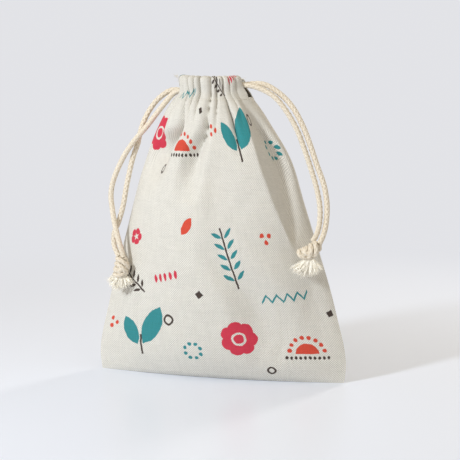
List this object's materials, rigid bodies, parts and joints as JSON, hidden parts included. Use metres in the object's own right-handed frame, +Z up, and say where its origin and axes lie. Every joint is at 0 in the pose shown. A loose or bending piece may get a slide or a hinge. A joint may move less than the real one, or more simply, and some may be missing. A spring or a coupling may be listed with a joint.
{
  "type": "drawstring pouch",
  "caption": "Small printed cloth pouch with a gathered casing, drawn shut by two cotton cords that are knotted and frayed at their ends.",
  "frame": {"origin": "middle of the folded bottom, on the surface that the pouch stands on", "axes": "+Z up, from the bottom fold to the gathered mouth, front towards -Y, +X towards the right side seam as seen from the front"},
  "size_m": [0.1326, 0.0484, 0.156],
  "materials": {
    "cloth": "plain-woven cotton and linen, cream, with a small printed pattern",
    "cord": "braided cotton cord, pale yellow cream",
    "fray": "loose cotton fibres"
  },
  "bodies": {
    "root": {"pouch_cloth": "cloth", "left_cord": "cord", "right_cord": "cord", "left_knot": "cord", "right_knot": "cord", "left_frayed_ends": "fray", "right_frayed_ends": "fray"}
  },
  "joints": []
}
